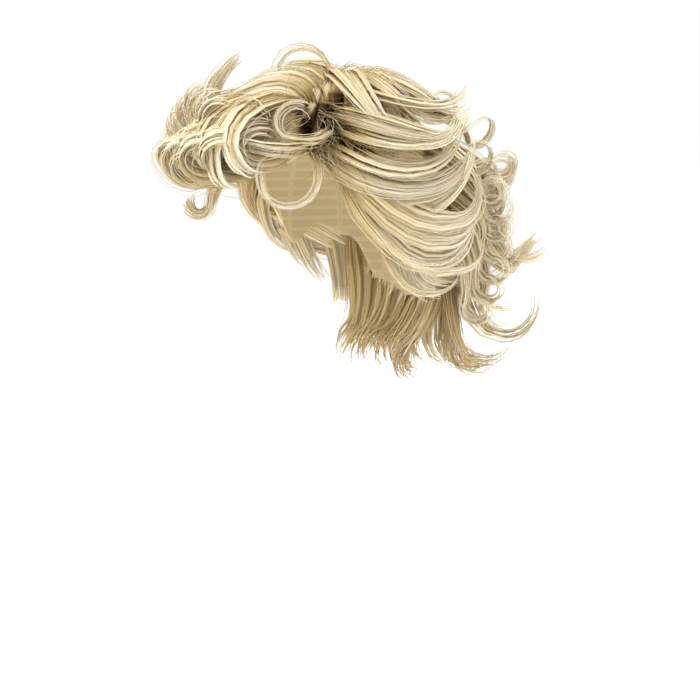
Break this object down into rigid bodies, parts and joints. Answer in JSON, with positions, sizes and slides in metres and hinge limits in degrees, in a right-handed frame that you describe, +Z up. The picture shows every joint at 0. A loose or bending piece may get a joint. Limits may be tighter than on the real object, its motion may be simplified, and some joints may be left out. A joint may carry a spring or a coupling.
{
  "type": "synthetic wig",
  "caption": "Short curly blond synthetic wig: an open net cap for the head, covered in locks that roll up over the forehead, sweep back from a side parting and flick out at the nape.",
  "frame": {"origin": "inside of the cap's crown, where the top of the head comes to rest", "axes": "+Z up, the wearer faces -Y, the wearer's left is +X"},
  "size_m": [0.2629, 0.3375, 0.2834],
  "materials": {
    "net": "stretch net, matt",
    "fibre": "glossy synthetic hair"
  },
  "bodies": {
    "root": {"cap": "net", "crown": "fibre", "front_roll": "fibre", "left_side": "fibre", "right_side": "fibre", "back": "fibre", "nape": "fibre"}
  },
  "joints": []
}
